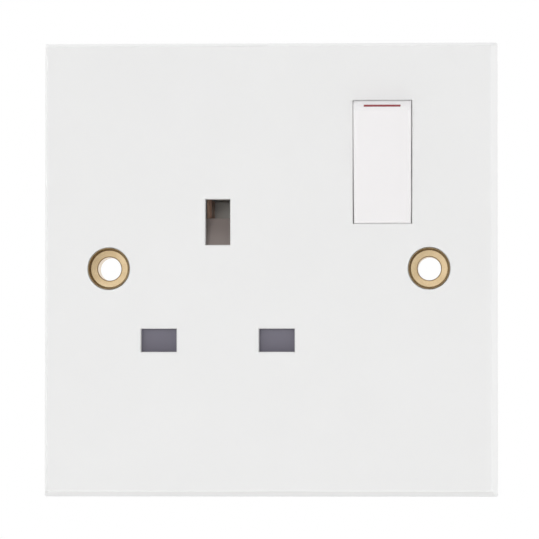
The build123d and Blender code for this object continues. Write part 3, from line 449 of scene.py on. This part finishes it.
class SOCKET_OT_springs(bpy.types.Operator):
    """Coil the two springs with closed ends, in place of their CAD shapes."""

    bl_idname = "socket.springs"
    bl_label = "Springs"

    def execute(self, context):
        # Drawn spring steel: grey wire with a slight oil sheen
        drawn = worked_metal(
            "steel_drawn_wire", "#A9AAAE", "#8E8F94",
            roughness=0.3, pattern_mm=0.1, relief_mm=0.002, edge_mm=0.02)
        wire = context.scene.socket_finish.spring_wire
        for node, body, joint, turns in SPRINGS:
            press = Vector(JOINTS[joint]["axis"]).normalized()
            mesh, start, end = coil_spring(node, press, turns, wire)
            spring = new_piece(f"{node}_coiled", mesh, body, drawn)
            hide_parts(node)
            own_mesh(spring)
        return {"FINISHED"}


class SOCKET_OT_terminals(bpy.types.Operator):
    """Finish the terminal blocks and their clamping screws."""

    bl_idname = "socket.terminals"
    bl_label = "Terminals"

    def execute(self, context):
        finish = context.scene.socket_finish
        # Extruded brass, sawn and drilled: straight fine lines and a duller gold
        block = worked_metal(
            "brass_extruded_sawn", finish.brass_colour, "#C79D59",
            roughness=0.34, pattern_mm=0.3, relief_mm=0.006, edge_mm=0.12)
        # Turned brass: rings round the head from the lathe
        turned = worked_metal(
            "brass_turned_screw", finish.brass_colour, "#CDA460",
            roughness=0.26, pattern_mm=0.15, relief_mm=0.006, edge_mm=0.12, rings_on="earth_terminal_screw")
        for name in TERMINALS:
            dress(f"{name}_terminal", block)
            dress(f"{name}_terminal_screw", turned)
        return {"FINISHED"}


class SOCKET_OT_base(bpy.types.Operator):
    """Finish the base moulding and the screws that hold it."""

    bl_idname = "socket.base"
    bl_label = "Base"

    def execute(self, context):
        finish = context.scene.socket_finish
        # Moulded glass-filled nylon: a matt pale grey with a slightly grainy skin
        dress("base_moulding", moulded_plastic(
            "nylon_glass_filled_grey", finish.base_colour, "#CAC8C3",
            roughness=0.52, grain_mm=0.6, relief_mm=0.012, ior=1.53, edge_mm=0.2))
        # Zinc-plated steel: a cool bright grey with soft rings
        plated = worked_metal(
            "steel_zinc_plated", "#C6C8CA", "#AEB1B3",
            roughness=0.3, pattern_mm=0.2, relief_mm=0.006, edge_mm=0.1, rings_on=BASE_SCREWS[0])
        for node in BASE_SCREWS:
            dress(node, plated)
        return {"FINISHED"}


class SOCKET_OT_rear_marks(bpy.types.Operator):
    """Raise the usual letters and earth sign beside the terminals on the back of the base."""

    bl_idname = "socket.rear_marks"
    bl_label = "Rear marks"

    def execute(self, context):
        finish = context.scene.socket_finish
        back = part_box("base_moulding")[1].y
        moulded = NODES["base_moulding"].data.materials[0]
        # Turns a flat mark to be read from behind, with its front towards +Y
        facing = Matrix(((-1, 0, 0), (0, 0, 1), (0, 1, 0))).to_4x4()
        for name, shape, step in (
            ("live", self.letter("L", finish), -finish.mark_step),
            ("neutral", self.letter("N", finish), finish.mark_step),
            ("earth", self.earth_sign(finish), -finish.mark_step),
        ):
            low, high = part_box(f"{name}_terminal_screw")
            middle = (low + high) / 2
            shape.transform(Matrix.Translation((middle.x, back, middle.z + step)) @ facing)
            new_piece(f"{name}_mark", shape, "housing", moulded)
        return {"FINISHED"}

    def letter(self, character, finish):
        """Mesh of one raised letter, centred."""
        curve = bpy.data.curves.new(f"letter_{character}", "FONT")
        curve.body = character
        curve.size = finish.mark_size * LETTER_FONT
        curve.extrude = finish.mark_rise
        curve.align_x = "CENTER"
        curve.align_y = "CENTER"
        drawn = bpy.data.objects.new(f"letter_{character}", curve)
        mesh = bpy.data.meshes.new_from_object(drawn)
        bpy.data.objects.remove(drawn)
        return mesh

    def earth_sign(self, finish):
        """Mesh of the earth sign: a stem on three bars that shorten downwards."""
        size = finish.mark_size
        line = size * EARTH_LINE / 2
        outlines = []
        for number, share in enumerate(EARTH_BARS):
            half = size * share / 2
            level = -size * EARTH_PITCH * number
            outlines.append([
                (half, level + line), (-half, level + line), (-half, level - line), (half, level - line)])
        # The stem stands on the top edge of the first bar
        stem = size * EARTH_STEM
        outlines[0][1:1] = [(line, line), (line, stem), (-line, stem), (-line, line)]
        shape = bmesh.new()
        for outline in outlines:
            under = [shape.verts.new((x, y, -finish.mark_rise)) for x, y in outline]
            over = [shape.verts.new((x, y, finish.mark_rise)) for x, y in outline]
            shape.faces.new(under[::-1])
            shape.faces.new(over)
            for i in range(len(outline)):
                shape.faces.new((under[i - 1], under[i], over[i], over[i - 1]))
        mesh = bpy.data.meshes.new("earth_sign")
        shape.to_mesh(mesh)
        shape.free()
        return mesh


class SOCKET_OT_stage(bpy.types.Operator):
    """Set the floor, the white room, the lamps and the camera."""

    bl_idname = "socket.stage"
    bl_label = "Stage"

    def execute(self, context):
        stage = context.scene.socket_stage
        self.lay_floor(stage)
        self.light_room(context.scene, stage)
        self.hang_lamps(context.scene, stage)
        self.place_camera(context.scene, stage)
        context.scene.view_settings.view_transform = "Standard"
        return {"FINISHED"}

    def lay_floor(self, stage):
        """Pale round floor below the socket that fades to white far away and is clear from below."""
        bpy.ops.mesh.primitive_circle_add(
            vertices=FLOOR_SIDES, radius=FLOOR_RADIUS, fill_type="NGON", location=(0, 0, -stage.floor_drop))
        floor = bpy.context.object
        floor.name = "floor"
        floor.visible_glossy = False
        # Painted board: a matt near-white
        material, tree = new_tree("board_painted_pale")
        place = add_node(tree, "ShaderNodeTexCoord").outputs["Object"]
        reach = add_node(tree, "ShaderNodeVectorMath", {0: place}, operation="LENGTH")
        fade = add_node(tree, "ShaderNodeMapRange", {
            "Value": reach.outputs["Value"], "From Min": FLOOR_FADE_FROM, "From Max": FLOOR_FADE_TO})
        path = add_node(tree, "ShaderNodeLightPath")
        share = add_node(tree, "ShaderNodeMath", {
            0: fade.outputs[0], 1: path.outputs["Is Camera Ray"]}, operation="MULTIPLY")
        board = add_node(tree, "ShaderNodeBsdfDiffuse", {"Color": linear("#EFEFEE")})
        white = add_node(tree, "ShaderNodeEmission", {"Color": linear("#FFFFFF"), "Strength": 1.0})
        faded = add_node(tree, "ShaderNodeMixShader", {
            0: share.outputs[0], 1: board.outputs[0], 2: white.outputs[0]})
        under = add_node(tree, "ShaderNodeNewGeometry").outputs["Backfacing"]
        clear = add_node(tree, "ShaderNodeBsdfTransparent")
        close_tree(tree, add_node(tree, "ShaderNodeMixShader", {
            0: under, 1: faded.outputs[0], 2: clear.outputs[0]}))
        floor.data.materials.append(material)

    def light_room(self, scene, stage):
        """Room that is white to the eye, lights the socket most from behind and mirrors as light boxes."""
        world = bpy.data.worlds.new("white_room")
        world.use_nodes = True
        tree = world.node_tree
        tree.nodes.clear()
        path = add_node(tree, "ShaderNodeLightPath")
        direction = add_node(tree, "ShaderNodeTexCoord").outputs["Generated"]
        toward = add_node(tree, "ShaderNodeVectorMath", {
            0: direction, 1: ROOM_BRIGHT}, operation="DOT_PRODUCT")
        level = add_node(tree, "ShaderNodeMapRange", {
            "Value": toward.outputs["Value"], "From Min": -1.0, "From Max": ROOM_FULL,
            "To Min": 0.0, "To Max": stage.room_level})
        mirrored = self.mirrored_light(tree, direction)
        lit = add_node(tree, "ShaderNodeMix", {
            "Factor": path.outputs["Is Glossy Ray"], VALUE_A: level.outputs[0], VALUE_B: mirrored})
        shown = add_node(tree, "ShaderNodeMix", {
            "Factor": path.outputs["Is Camera Ray"], VALUE_A: lit.outputs[MIXED_VALUE], VALUE_B: 1.0})
        room = add_node(tree, "ShaderNodeBackground", {
            "Color": linear("#FFFFFF"), "Strength": shown.outputs[MIXED_VALUE]})
        add_node(tree, "ShaderNodeOutputWorld", {"Surface": room.outputs[0]})
        scene.world = world

    def mirrored_light(self, tree, direction):
        """Strength of the room in reflections: light boxes, a little stronger towards the upper left."""
        behind = add_node(tree, "ShaderNodeVectorMath", {
            0: direction, 1: (0.0, 1.0, 0.0)}, operation="DOT_PRODUCT")
        turned = add_node(tree, "ShaderNodeMapRange", {"Value": behind.outputs["Value"], "From Min": -1.0})
        boxes = add_node(tree, "ShaderNodeValToRGB", {"Fac": turned.outputs[0]})
        stops = boxes.color_ramp.elements
        stops.remove(stops[1])
        for place, grey in MIRRORED_ROOM:
            stop = stops[0] if place == 0.0 else stops.new(place)
            stop.color = (grey, grey, grey, 1.0)
        slope = add_node(tree, "ShaderNodeVectorMath", {
            0: direction, 1: MIRRORED_SLOPE}, operation="DOT_PRODUCT")
        share = add_node(tree, "ShaderNodeMath", {
            0: slope.outputs["Value"], 1: MIRRORED_SHARE}, operation="ADD")
        return add_node(tree, "ShaderNodeMath", {
            0: boxes.outputs[0], 1: share.outputs[0]}, operation="MULTIPLY").outputs[0]

    def hang_lamps(self, scene, stage):
        """Soft lamp behind the camera, and two about level with the wall, at the right and the upper left."""
        for name, (size, place) in LAMPS.items():
            light = bpy.data.lights.new(name, "AREA")
            light.shape = "DISK"
            light.size = size
            light.energy = getattr(stage, f"{name}_power")
            lamp = bpy.data.objects.new(name, light)
            lamp.location = place
            lamp.visible_glossy = False
            lamp.rotation_euler = (-lamp.location).to_track_quat("-Z", "Y").to_euler()
            scene.collection.objects.link(lamp)

    def place_camera(self, scene, stage):
        """Camera at the photograph's angle, a little right of the socket and below its middle."""
        lens = bpy.data.cameras.new("camera")
        lens.lens = lens.sensor_width * stage.distance / stage.view_width
        camera = bpy.data.objects.new("camera", lens)
        low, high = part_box("front_plate")
        middle = (low + high) / 2
        target = Vector((middle.x + stage.aim_right, low.y, middle.z - stage.aim_down))
        back = Vector((
            math.sin(stage.azimuth) * math.cos(stage.elevation),
            -math.cos(stage.azimuth) * math.cos(stage.elevation),
            math.sin(stage.elevation),
        ))
        camera.location = target + back * stage.distance
        camera.rotation_euler = (-back).to_track_quat("-Z", "Y").to_euler()
        scene.collection.objects.link(camera)
        scene.camera = camera


OPERATORS = (
    SOCKET_OT_face_plate,
    SOCKET_OT_rocker,
    SOCKET_OT_shutter,
    SOCKET_OT_eyelets,
    SOCKET_OT_contacts,
    SOCKET_OT_springs,
    SOCKET_OT_terminals,
    SOCKET_OT_base,
    SOCKET_OT_rear_marks,
    SOCKET_OT_stage,
)


class SOCKET_PT_looks(bpy.types.Panel):
    """Sidebar panel that lists the steps and their settings."""

    bl_idname = "SOCKET_PT_looks"
    bl_label = "Switched socket"
    bl_space_type = "VIEW_3D"
    bl_region_type = "UI"
    bl_category = "Socket"

    def draw(self, context):
        for operator in OPERATORS:
            self.layout.operator(operator.bl_idname)
        for group in (context.scene.socket_finish, context.scene.socket_stage):
            for name in group.__annotations__:
                self.layout.prop(group, name)


CLASSES = (SocketFinish, SocketStage, *OPERATORS, SOCKET_PT_looks)


def register():
    for cls in CLASSES:
        bpy.utils.register_class(cls)
    bpy.types.Scene.socket_finish = PointerProperty(type=SocketFinish)
    bpy.types.Scene.socket_stage = PointerProperty(type=SocketStage)


def unregister():
    del bpy.types.Scene.socket_stage
    del bpy.types.Scene.socket_finish
    for cls in reversed(CLASSES):
        bpy.utils.unregister_class(cls)


def main():
    register()
    for operator in OPERATORS:
        module, name = operator.bl_idname.split(".")
        getattr(getattr(bpy.ops, module), name)()


if __name__ == "__main__":
    main()
